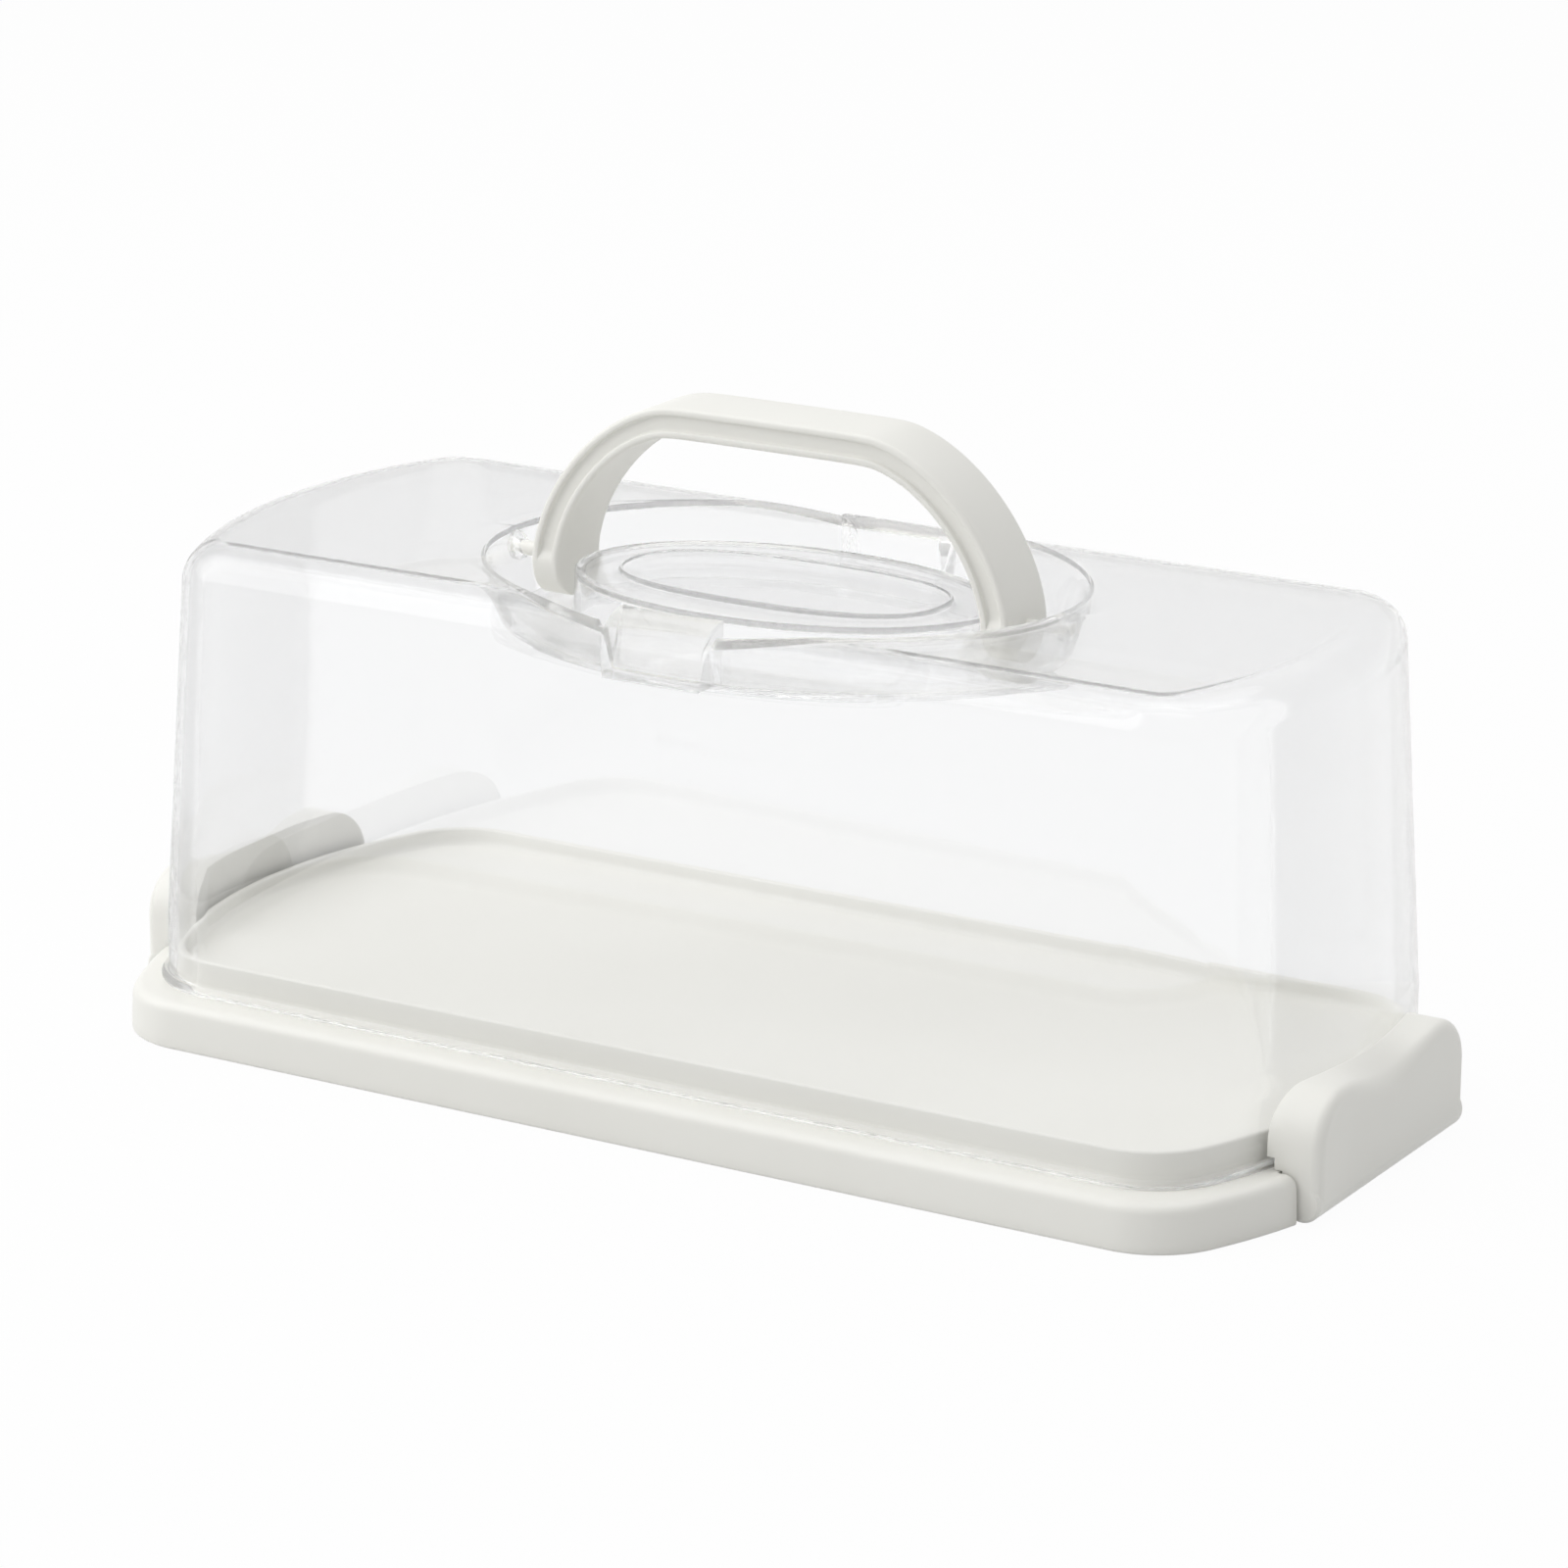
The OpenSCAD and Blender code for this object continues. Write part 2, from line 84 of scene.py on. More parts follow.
# latches and their hinges
LATCH_X, LATCH_X0, DIP_X0 = 179.6, 160.3, 170.65
LATCH_HALF, LATCH_TOP, LATCH_DIP, LATCH_CORNER, FACE_R = 42.2, 33.0, 6.0, 13.0, 3.0
HINGE_X, HINGE_Z, BARREL_R = 174.3, 5.8, 5.3
HOOK_Z, HOOK_R, POCKET_R, POCKET_Z = 16.35, 146.95, 148.95, 10.8
LUG_Y, LUG_HALF, LUG_R, LUG_BORE, LUG_MOUTH = 24, 4.5, 3.6, 1.56, 1.2
SLOT_HALF, SLOT_R, HINGE_BAR_R, HINGE_BAR_HALF = 4.9, 4.1, 1.5, 6


def cosd(a):
    return math.cos(math.radians(a))


def sind(a):
    return math.sin(math.radians(a))


# ---------------------------------------------------------------- mesh helpers
def quarter(cols, inset, r):
    """The first quadrant of the footprint, inset and with corner radius r, as one point per mesh column.

    A column is (0, share of the end arc), (1, share of the corner) or (2, share of the straight side).
    """
    re = END_R - inset
    yc = TRAY_W / 2 - inset - r
    xc = math.sqrt((re - r) ** 2 - yc ** 2)
    turn = math.atan2(yc, xc)
    out = []
    for kind, v in cols:
        if kind == 0:
            out.append((END_X + re * math.cos(turn * v), re * math.sin(turn * v)))
        elif kind == 1:
            a = turn + (PI / 2 - turn) * v
            out.append((END_X + xc + r * math.cos(a), yc + r * math.sin(a)))
        else:
            out.append((v * (END_X + xc), TRAY_W / 2 - inset))
    return np.array(out)


def around(q):
    """A first quadrant of points, mirrored into a closed loop."""
    flip = [np.array(s + (1,) * (q.shape[1] - 2)) for s in ((-1, 1), (-1, -1), (1, -1))]
    return np.vstack([q, q[-2::-1] * flip[0], q[1:] * flip[1], q[-2:0:-1] * flip[2]])


def with_z(loop, z):
    return np.column_stack([loop, np.full(len(loop), float(z))])


def mesh_object(name, verts, faces):
    mesh = bpy.data.meshes.new(name)
    mesh.from_pydata((np.asarray(verts) * MM).tolist(), [], faces)
    mesh.update()
    bm = bmesh.new()
    bm.from_mesh(mesh)
    bmesh.ops.recalc_face_normals(bm, faces=bm.faces)
    bm.to_mesh(mesh)
    bm.free()
    obj = bpy.data.objects.new(name, mesh)
    bpy.context.scene.collection.objects.link(obj)
    return obj


def skin(name, rings, ends="poles"):
    """Quads through a stack of closed rings, closed at both ends by a fan ("poles") or by one face ("caps")."""
    n = len(rings[0])
    verts = np.vstack(rings)
    faces = []
    for k in range(len(rings) - 1):
        for i in range(n):
            j = (i + 1) % n
            faces.append((k * n + i, k * n + j, (k + 1) * n + j, (k + 1) * n + i))
    if ends == "poles":
        last = (len(rings) - 1) * n
        verts = np.vstack([verts, rings[0].mean(axis=0), rings[-1].mean(axis=0)])
        for i in range(n):
            j = (i + 1) % n
            faces.append((len(verts) - 2, j, i))
            faces.append((len(verts) - 1, last + i, last + j))
    else:
        faces.append(tuple(range(n)))
        faces.append(tuple(len(verts) - n + i for i in range(n)))
    return mesh_object(name, verts, faces)


def tidy_away(*objs):
    for o in objs:
        bpy.data.objects.remove(o, do_unlink=True)


def join(target, *others):
    bm = bmesh.new()
    for o in (target,) + others:
        bm.from_mesh(o.data)
    bm.to_mesh(target.data)
    bm.free()
    tidy_away(*others)


def settle(obj):
    """Applies the modifiers."""
    graph = bpy.context.evaluated_depsgraph_get()
    mesh = bpy.data.meshes.new_from_object(obj.evaluated_get(graph))
    obj.modifiers.clear()
    obj.data = mesh


def cut(target, tool, how="DIFFERENCE"):
    mod = target.modifiers.new("cut", "BOOLEAN")
    mod.operation, mod.object, mod.solver = how, tool, "EXACT"
    settle(target)
    tidy_away(tool)


def soften(obj, width=0.0, segments=2, angle=45, smooth=38):
    """Rounds sharp edges where a width is given, and smooths the rest."""
    if width:
        mod = obj.modifiers.new("edges", "BEVEL")
        mod.width, mod.segments, mod.limit_method = width * MM, segments, "ANGLE"
        mod.angle_limit = math.radians(angle)
        mod.use_clamp_overlap = True
        settle(obj)
    mesh = obj.data
    mesh.polygons.foreach_set("use_smooth", [True] * len(mesh.polygons))
    mesh.set_sharp_from_angle(angle=math.radians(smooth))
    mesh.update()


def box(name, lo, hi):
    (x0, y0, z0), (x1, y1, z1) = lo, hi
    low = np.array([(x0, y0, z0), (x1, y0, z0), (x1, y1, z0), (x0, y1, z0)], float)
    high = low + (0, 0, z1 - z0)
    return skin(name, [low, high], ends="caps")


def bar(name, axis, centre, r, lo, hi, n=64, chamfer=0.0):
    """A round bar along axis 0 (X), 1 (Y) or 2 (Z), with chamfered ends where asked."""
    spots = [(lo, r), (hi, r)]
    if chamfer:
        spots = [(lo, r - chamfer), (lo + chamfer, r), (hi - chamfer, r), (hi, r - chamfer)]
    a = np.arange(n) * 2 * PI / n
    across = [k for k in (0, 1, 2) if k != axis]
    rings = []
    for s, rr in spots:
        ring = np.zeros((n, 3))
        ring[:, axis] = s
        ring[:, across[0]] = rr * np.cos(a) + centre[0]
        ring[:, across[1]] = rr * np.sin(a) + centre[1]
        rings.append(ring)
    return skin(name, rings, ends="caps")


def mirrored(obj, name):
    """A copy mirrored in X."""
    verts = np.empty(len(obj.data.vertices) * 3)
    obj.data.vertices.foreach_get("co", verts)
    verts = verts.reshape(-1, 3) * (-1, 1, 1) / MM
    faces = [tuple(p.vertices)[::-1] for p in obj.data.polygons]
    return mesh_object(name, verts, faces)


# ---------------------------------------------------------------- cover
# mesh columns of a quadrant, with their least spacing at the side of the finger notch
SIDE_X = END_X + math.sqrt((END_R - COVER_CORNER) ** 2 - (TRAY_W / 2 - COVER_CORNER) ** 2)
CORNER_C = (SIDE_X, TRAY_W / 2 - COVER_CORNER)
side_spots = np.concatenate([
    np.linspace(SIDE_X, 34, 15), np.linspace(34, 20, 10)[1:],
    np.linspace(20, 12.2, 26)[1:], np.linspace(12.2, 0, 5)[1:],
])
cover_cols = (
    [(0, v) for v in np.linspace(0, 1, 13)[:-1]]
    + [(1, v) for v in np.linspace(0, 1, 65)[:-1]]
    + [(2, x / SIDE_X) for x in side_spots]
)

# mesh rings along the recess wall, the flat top and the rounded edge, and the softness of the recess's rim
N_WALL, N_FLAT, N_EDGE, RIM_SOFT = 10, 10, 22, 0.35
# samples along a column's path over the recess wall and over the top
WALL_SAMPLES, TOP_SAMPLES = 260, 600

# (inset, height) of the foot, from the skirt down its outside, round the flange and up its inside
FOOT_PROFILE = (
    (9.4, 26), (9.4, 20), (9.4, 17.2), (9.36, 16.7), (9.2, 16.3), (8.95, 16.06), (8.7, 16.0),
    (8.3, 15.9), (7.9, 15.7), (7.6, 15.35), (7.43, 14.9), (7.4, 14.4), (7.43, 14.0), (7.55, 13.65),
    (7.8, 13.4), (8.2, 13.3), (9.4, 13.3), (11.1, 13.3),
    (11.32, 13.4), (11.4, 13.7), (11.4, 20), (11.4, 26), (11.4, SKIRT_TOP),
)
# (distance inside the pad's edge, height over the plateau) of the bead round the pad
PAD_BEAD = (
    (1.5, 0.2), (1.3, 0.22), (1.1, 0.32), (0.95, 0.48), (0.75, 0.55),
    (0.55, 0.48), (0.38, 0.25), (0.22, 0.06), (0.05, 0.0),
)
PAD_POWER, PAD_RING_POWER = 2.6, 2.2


def soft_step(u):
    return u * u * (3 - 2 * u)


def cover_loop(inset, z):
    return with_z(around(quarter(cover_cols, inset, max(COVER_CORNER - inset, 1.0))), z)


def wall_inset(z, t):
    """Inset of the leaning wall's skin at height z, t inside the outer one."""
    return WALL_I0 + t + WALL_LEAN * (z - WALL_Z0) / (WALL_Z1 - WALL_Z0)


def inset_at(x, y):
    """How far inside the footprint a point lies."""
    side = TRAY_W / 2 - y
    end = END_R - np.hypot(x - END_X, y)
    corner = COVER_CORNER - np.hypot(x - CORNER_C[0], y - CORNER_C[1])
    in_corner = (x > CORNER_C[0]) & (y * (CORNER_C[0] - END_X) > CORNER_C[1] * (x - END_X))
    return np.where(in_corner, corner, np.minimum(side, end))


def dome_height(x, y, t):
    """Height of the cover's wall, rounded edge and flat top, without its recess."""
    i = inset_at(x, y) - t
    top_i = WALL_I0 + WALL_LEAN
    r = EDGE_R - t
    wall = WALL_Z0 + (i - WALL_I0) / WALL_LEAN * (WALL_Z1 - WALL_Z0)
    k = np.clip(r - (i - top_i), 0, r)
    fillet = WALL_Z1 + np.sqrt(np.maximum(r * r - k * k, 0))
    return np.where(i < top_i, wall, fillet)


def notch_height(x, t):
    """Height of the finger notch's floor and side, and far above the cover beside it."""
    h = NOTCH_HALF + t
    z0 = NOTCH_Z - t
    z1 = NOTCH_CORNER_Z - NOTCH_R
    u = np.clip((x - h) / NOTCH_R, 0, 1)
    curve = z1 + NOTCH_R * np.sqrt(np.maximum(1 - (1 - u) ** 2, 0))
    out = np.where(x < h - 1, z0, np.where(x < h, z0 + (x - h + 1) * (z1 - z0), curve))
    return np.where(x > h + NOTCH_R, 1e3, out)


def run_along(path):
    return np.concatenate([[0], np.cumsum(np.linalg.norm(np.diff(path, axis=0), axis=1))])


def points_at(path, run, spots):
    return np.column_stack([np.interp(spots, run, path[:, j]) for j in range(3)])


def oval_on(base):
    """A function that puts the points of an oval on the mesh columns, which end at the points of base."""
    theta = np.arctan2(base[:, 1] / RECESS_B, base[:, 0] / RECESS_A)
    keep_x = soft_step(np.clip((50 - base[:, 0]) / 20, 0, 1))       # columns near the notch keep their X

    def oval(a, b, n=2.0):
        if n != 2.0:
            x = a * np.abs(np.cos(theta)) ** (2 / n)
            y = b * np.abs(np.sin(theta)) ** (2 / n)
            return x, y
        x = a * np.cos(theta) * (1 - keep_x) + base[:, 0] * min(1.0, a / RECESS_A * 1.06) * keep_x
        return x, b * np.sqrt(np.maximum(1 - (x / a) ** 2, 0))

    return oval


def recess_rings(t):
    """(half-length, half-width, height, power) of the ovals from the pad's middle to the recess wall's foot."""
    rings = []
    pz = PLATEAU_Z - t
    if t == 0:
        for f in (0.15, 0.35, 0.55, 0.75, 0.9):
            rings.append((PAD_A * f, PAD_B * f, pz + PAD_H, PAD_POWER))
        for d, z in PAD_BEAD:
            rings.append((PAD_A - d, PAD_B - d, pz + z, PAD_POWER))
        rings.append((PAD_A + 4, PAD_B + 5, pz, PAD_RING_POWER))
    else:
        for f in (0.2, 0.5, 0.8):
            rings.append((PAD_A * f, PAD_B * f, pz, 2.0))
    pa, pb = PLATEAU_A - t, PLATEAU_B - t
    foot_z = FLOOR_Z - t
    # the plateau's rounded edge, its side and the fillet at its foot
    for d, z in ((4, 0), (1.4, 0), (0.75, 0.08), (0.3, 0.32), (0.08, 0.7), (0, 1.1)):
        rings.append((pa - d, pb - d, pz - z, 2.0))
    for f in (0.25, 0.5, 0.75):
        rings.append((pa + PLATEAU_LEAN * f, pb + PLATEAU_LEAN * f, pz - 1.1 + (foot_z + 2.2 - pz) * f, 2.0))
    for d, z in ((0, 1.1), (0.1, 0.6), (0.4, 0.2), (1.1, 0)):
        rings.append((pa + PLATEAU_LEAN + d, pb + PLATEAU_LEAN + d, foot_z + z, 2.0))
    # the recess floor and the fillet up to its wall
    fa, fb = RECESS_A + t - LEAN_A, RECESS_B + t - LEAN_B
    a0, b0 = pa + 1.5, pb + 1.5
    for f in (0.3, 0.65):
        rings.append((a0 + (fa - 1.6 - a0) * f, b0 + (fb - 1.6 - b0) * f, foot_z, 2.0))
    rise = RIM_Z - foot_z
    for d, z in ((-1.5, 0), (-0.7, 0.12), (-0.15, 0.5), (0, 1.2)):
        rings.append((fa + d + LEAN_A / rise * z, fb + d + LEAN_B / rise * z, foot_z + z, 2.0))
    return rings


def rim_column(x, y, z, end, t):
    """One mesh column: up the recess wall x, y, z to where it meets the dome, and over the top to end."""
    z = np.minimum(z, notch_height(x, t))
    over = z - dome_height(x, y, t)
    k = int(np.argmax(over >= 0))
    px, py = x[0], y[0]
    if k:
        f = over[k - 1] / (over[k - 1] - over[k])
        px, py = x[k - 1] + (x[k] - x[k - 1]) * f, y[k - 1] + (y[k] - y[k - 1]) * f
    rim = np.array([px, py, float(dome_height(np.array(px), np.array(py), t))])
    inner = np.vstack([np.column_stack([x[:k], y[:k], z[:k]]), rim])
    g = 1 - (1 - np.linspace(0, 1, TOP_SAMPLES)[1:]) ** 1.5
    ox, oy = px + (end[0] - px) * g, py + (end[1] - py) * g
    outer = np.vstack([rim, np.column_stack([ox, oy, dome_height(ox, oy, t)])])

    run_in, run_out = run_along(inner), run_along(outer)
    stop = run_in[-1] - min(RIM_SOFT, run_in[-1] * 0.3)
    first = points_at(inner, run_in, np.linspace(0, stop, N_WALL + 2)[1:])
    start = min(RIM_SOFT, run_out[-1] * 0.3)
    depth = t - inset_at(outer[:, 0], outer[:, 1])
    wall_top = np.interp(-(WALL_I0 + WALL_LEAN), depth, run_out)         # where the rounded edge meets the wall
    edge = np.interp(-(WALL_I0 + WALL_LEAN + EDGE_R - t), depth, run_out)
    edge = max(edge, start + 0.3 * (wall_top - start))
    last = points_at(outer, run_out, np.concatenate([
        np.linspace(start, edge, N_FLAT + 1), np.linspace(edge, wall_top, N_EDGE + 1)[1:],
        np.linspace(wall_top, run_out[-1], 3)[1:],
    ]))
    middle = 0.5 * rim + 0.25 * (first[-1] + last[0])
    return np.vstack([first, middle[None], last])


def cover_surface(t):
    """Rings of the outer skin (t = 0) or of the inside (t = wall), from the middle of the top down to the wall."""
    end_z = 118.0 - 1.5 * t
    end_i = wall_inset(end_z, t)
    base = quarter(cover_cols, end_i, COVER_CORNER - end_i)
    oval = oval_on(base)
    loops = [np.column_stack([*oval(a, b, n), np.full(len(base), z)]) for a, b, z, n in recess_rings(t)]

    foot_z = FLOOR_Z - t
    start_z = foot_z + 1.2
    rise = RIM_Z - foot_z
    steps = np.linspace(0, 1, WALL_SAMPLES)
    z = np.concatenate([start_z + (RIM_Z - start_z) * steps, RIM_Z + RIM_RISE * steps[1:]])
    up = z[:WALL_SAMPLES] - foot_z
    ring_a = np.concatenate([RECESS_A + t - LEAN_A + LEAN_A / rise * up, RECESS_A + t + RECESS_SOFT * steps[1:]])
    ring_b = np.concatenate([RECESS_B + t - LEAN_B + LEAN_B / rise * up, RECESS_B + t + RECESS_SOFT * steps[1:]])
    wall = np.array([oval(a, b) for a, b in zip(ring_a, ring_b)])       # sample, axis, column
    columns = [rim_column(wall[:, 0, c], wall[:, 1, c], z, end, t) for c, end in enumerate(base)]
    loops += list(np.array(columns).transpose(1, 0, 2))
    return [around(loop) for loop in loops], end_z


def make_cover():
    outer, z_out = cover_surface(0)
    inner, z_in = cover_surface(COVER_WALL)
    down = [cover_loop(wall_inset(z, 0), z) for z in np.linspace(z_out, WALL_Z0, 4)[1:]]
    for u in np.linspace(0, 1, 10)[1:]:
        down.append(cover_loop(WALL_I0 - STEP * soft_step(u), WALL_Z0 + (SKIRT_TOP - WALL_Z0) * u))
    down += [cover_loop(i, z) for i, z in FOOT_PROFILE]
    for u in np.linspace(0, 1, 10)[1:]:
        down.append(cover_loop(SKIRT_INSIDE + STEP * soft_step(u), SKIRT_TOP + (WALL_Z0 - SKIRT_TOP) * u))
    down += [cover_loop(wall_inset(z, COVER_WALL), z) for z in np.linspace(WALL_Z0, z_in, 4)[1:-1]]
    piece = skin("cover_shell", outer + down + inner[::-1])
    for side in (1, -1):
        lo, hi = sorted((side * BOSS_START, side * BOSS_END))
        cut(piece, bar("boss", 0, (0, PIVOT_Z), BOSS_R, lo, hi, 48, 0.3), "UNION")
        lo, hi = sorted((side * 74.0, side * (BOSS_END + 1)))
        cut(piece, bar("bore", 0, (0, PIVOT_Z), PIN_R + PIN_GAP, lo, hi, 48))
    soften(piece)
    return piece


# ---------------------------------------------------------------- tray
tray_cols = (
    [(0, v) for v in np.linspace(0, 1, 21)[:-1]]
    + [(1, v) for v in np.linspace(0, 1, 15)[:-1]]
    + [(2, v) for v in np.linspace(1, 0, 12)]
)


def tray_loop(inset, z):
    return with_z(around(quarter(tray_cols, inset, max(TRAY_CORNER - inset * 0.2, 2.0))), z)


def arc(i0, z0, r, a0, a1, n):
    """Points (inset, height) of an arc of radius r about (i0, z0), angles from the inward axis."""
    return [(i0 + r * cosd(a), z0 + r * sind(a)) for a in np.linspace(a0, a1, n)]


def make_tray():
    rim_out, rim_in = RIM_INSET, RIM_INSET + RIM_WALL
    profile = (
        [(3.0, 0.0)]
        + arc(BASE_R + 0.05, BASE_R, BASE_R, -90, -180, 5)
        + [(0.05, 3.0), (0.25, 7.0)]
        + arc(0.4 + FLANGE_R, FLANGE_H - FLANGE_R, FLANGE_R, 180, 90, 8)
        + [(6.0, FLANGE_H), (9.0, FLANGE_H)]
        + arc(rim_out - LEDGE_R, FLANGE_H + LEDGE_R, LEDGE_R, -90, 0, 5)
        + [(rim_out, 17.0), (rim_out, 20.0)]
        + arc(rim_out + RIM_R, RIM_TOP - RIM_R, RIM_R, 180, 90, 5)
        + arc(rim_in - RIM_R, RIM_TOP - RIM_R, RIM_R, 90, 0, 5)
        + [(rim_in, 20.0)]
        + arc(rim_in + PLATE_R, PLATE_TOP + PLATE_R, PLATE_R, -180, -90, 7)
        + [(i, PLATE_TOP) for i in (20.0, 30.0, 45.0, 60.0, 72.0)]
    )
    piece = skin("tray_body", [tray_loop(i, z) for i, z in profile])
    hollow_profile = (
        (TRAY_WALL, -1.0), (2.4, 5.0), (2.6, 10.3), (3.0, 10.8), (11.0, 10.8), (13.3, 10.8),
        (13.8, 11.2), (13.8, 14.6), (14.6, PLATE_UNDER), (40.0, PLATE_UNDER), (72.0, PLATE_UNDER),
    )
    hollow = skin("hollow", [tray_loop(i, z) for i, z in hollow_profile])
    past = 18                                                   # a height above the hollow's roof
    for side in (1, -1):
        lo, hi = sorted((side * (NOTCH_X - TRAY_WALL), side * 200.0))
        cut(hollow, box("wall", (lo, -NOTCH_Y - TRAY_WALL, -2), (hi, NOTCH_Y + TRAY_WALL, past)))
    rib_z, pitch = PLATE_UNDER - RIB_H, (TRAY_L - 2 * RIM_INSET) / RIB_BAYS
    for i in range(-3, 4):
        cut(hollow, box("rib", (i * pitch - RIB_HALF, -90, rib_z), (i * pitch + RIB_HALF, 90, past)))
    for y in (-TRAY_W / 6, TRAY_W / 6):
        cut(hollow, box("rib", (-190, y - RIB_HALF, rib_z), (190, y + RIB_HALF, past)))
    cut(piece, hollow)
    for side in (1, -1):
        lo, hi = sorted((side * NOTCH_X, side * 200.0))
        cut(piece, box("latch_notch", (lo, -NOTCH_Y, -2), (hi, NOTCH_Y, FLANGE_H)))
    join(piece, *[make_lug(side, y) for side in (1, -1) for y in (-LUG_Y, LUG_Y)])
    soften(piece, 0.3, 2, 50)
    return piece


def make_lug(side, y):
    """An open hook that a latch's hinge bar snaps into."""
    centre = (side * HINGE_X, HINGE_Z)
    lug = bar("lug", 1, centre, LUG_R, y - LUG_HALF, y + LUG_HALF, 40)
    lo, hi = sorted((side * (NOTCH_X - 1), side * HINGE_X))
    web = box("web", (lo, y - LUG_HALF, HINGE_Z - 1.5), (hi, y + LUG_HALF, HINGE_Z + LUG_R))
    cut(lug, web, "UNION")
    cut(lug, bar("bore", 1, centre, LUG_BORE, y - 6, y + 6, 40))
    lo, hi = centre[0] - LUG_MOUTH, centre[0] + LUG_MOUTH
    cut(lug, box("mouth", (lo, y - 6, 0), (hi, y + 6, HINGE_Z)))
    return lug


# ---------------------------------------------------------------- handle
def strap_profile(groove):
    """Cross-section of the strap as (across, along Y): across runs from the outer to the inner face."""
    w, r, bead = STRAP_HALF, STRAP_EDGE, BEAD_W
    side = [(r + r * cosd(a), w - r + r * sind(a)) for a in np.linspace(180, 90, 6)]
    side += [
        (bead - 0.4, w), (bead - 0.12, w - 0.08 * groove), (bead, w - 0.25 * groove),
        (bead + 0.05, w - 0.7 * groove), (bead + 0.2, w - 0.92 * groove),
        (bead + 0.5, w - groove), (bead + 0.9, w - groove),
    ]
    side += [(STRAP_T - x, y) for x, y in side[::-1]]
    return side + [(x, -y) for x, y in side[::-1]]


def make_handle():
    half = []                       # outer point, inner point, share of the full width, depth of the groove
    for a in np.linspace(88, 6, 12):                            # the leg's round end, bottom first
        z = PIVOT_Z - STRAP_HALF * sind(a)
        half.append(((LEG_X, z), (LEG_X - STRAP_T, z), cosd(a), 0.0))
    cx = LEG_X - SHOULDER_L
    for a in np.linspace(0, 90, 44):                            # the shoulder
        ca = cosd(a) ** (2 / SHOULDER_N) if a < 89.9 else 0.0
        sa = sind(a) ** (2 / SHOULDER_N)
        outer = (cx + SHOULDER_L * ca, PIVOT_Z + (HANDLE_TOP - PIVOT_Z) * sa)
        inner = (cx + (SHOULDER_L - STRAP_T) * ca, PIVOT_Z + (HANDLE_TOP - PIVOT_Z - STRAP_T) * sa)
        depth = GROOVE * soft_step(min(max((outer[1] - PIVOT_Z - 0.5) / 3.5, 0), 1))
        half.append((outer, inner, 1.0, depth))
    for x in (20.0, 10.0, 0.0):                                 # the flat grip
        half.append(((x, HANDLE_TOP), (x, HANDLE_TOP - STRAP_T), 1.0, GROOVE))
    full = half + [((-o[0], o[1]), (-i[0], i[1]), w, g) for o, i, w, g in half[-2::-1]]
    curves = np.array([[o, i] for o, i, w, g in full])
    free = curves[1:-1, 0, 1] > PIVOT_Z + 5
    for _ in range(8):                                          # smooths the run from shoulder to grip
        mid = (curves[:-2] + 2 * curves[1:-1] + curves[2:]) / 4
        curves[1:-1][free] = mid[free]
    rings = []
    for (outer, inner), (_, _, width, groove) in zip(curves, full):
        ring = []
        for u, v in strap_profile(groove):
            p = outer + (inner - outer) * (u / STRAP_T)
            ring.append((p[0], v * width, p[1]))
        rings.append(np.array(ring))
    piece = skin("handle_strap", rings)
    for side in (1, -1):
        lo, hi = sorted((side * (LEG_X - 1), side * BOSS_END))
        cut(piece, bar("pin", 0, (0, PIVOT_Z), PIN_R, lo, hi, 40, 0.3), "UNION")
    soften(piece, smooth=50)
    return piece


# ---------------------------------------------------------------- latches
def latch_outline(x, d, z0):
    """The latch seen from its end, at x and d inside its edge: two round shoulders with the dip between them."""
    half, r = LATCH_HALF - d, LATCH_CORNER - d
    flat = half - r
    shoulder_z = LATCH_TOP - LATCH_CORNER
    dip = LATCH_DIP * max(0.0, x - DIP_X0) / (LATCH_X - DIP_X0)
    pts = [(half, z0)]
    pts += [(flat + r * cosd(a), shoulder_z + r * sind(a)) for a in np.linspace(0, 90, 13)]
    pts += [(flat * (1 - i / 18), LATCH_TOP - d - dip / 2 * (1 - cosd(10 * i))) for i in range(1, 36)]
    pts += [(-flat + r * cosd(a), shoulder_z + r * sind(a)) for a in np.linspace(90, 180, 13)]
    pts.append((-half, z0))
    return pts


def bow_bar(r, z0, z1):
    """A round about the centre of the tray's right end arc, to cut the hook to the cover's foot."""
    return bar("bow", 2, (END_X, 0), r, z0, z1, 360)


